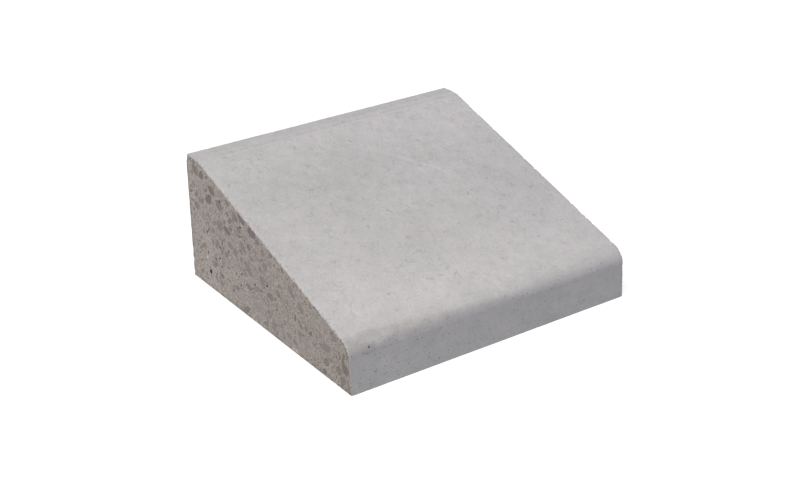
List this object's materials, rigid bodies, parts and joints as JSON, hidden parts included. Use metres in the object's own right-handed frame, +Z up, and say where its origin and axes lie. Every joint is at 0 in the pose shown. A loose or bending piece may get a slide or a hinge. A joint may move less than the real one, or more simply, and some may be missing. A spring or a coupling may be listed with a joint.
{
  "type": "concrete kerb stone",
  "caption": "Sloped-face concrete kerb stone: level strip at the back, long slope down to a rounded nose and a low battered front, sawn square ends.",
  "frame": {"origin": "centre of the bed face, at mid-length and mid-depth, on the ground under the kerb", "axes": "+X along the kerb line, -Y towards the low front that faces the road, +Y towards the tall back against the paving, +Z up"},
  "size_m": [0.33, 0.3, 0.14],
  "materials": {
    "cast_concrete": "fine-grained pale grey concrete, smooth off the mould on slope, nose, front and back, floated on the bed, sawn on the two ends where the dark crushed aggregate shows"
  },
  "bodies": {
    "root": {"kerb_stone": "cast_concrete"}
  },
  "joints": []
}
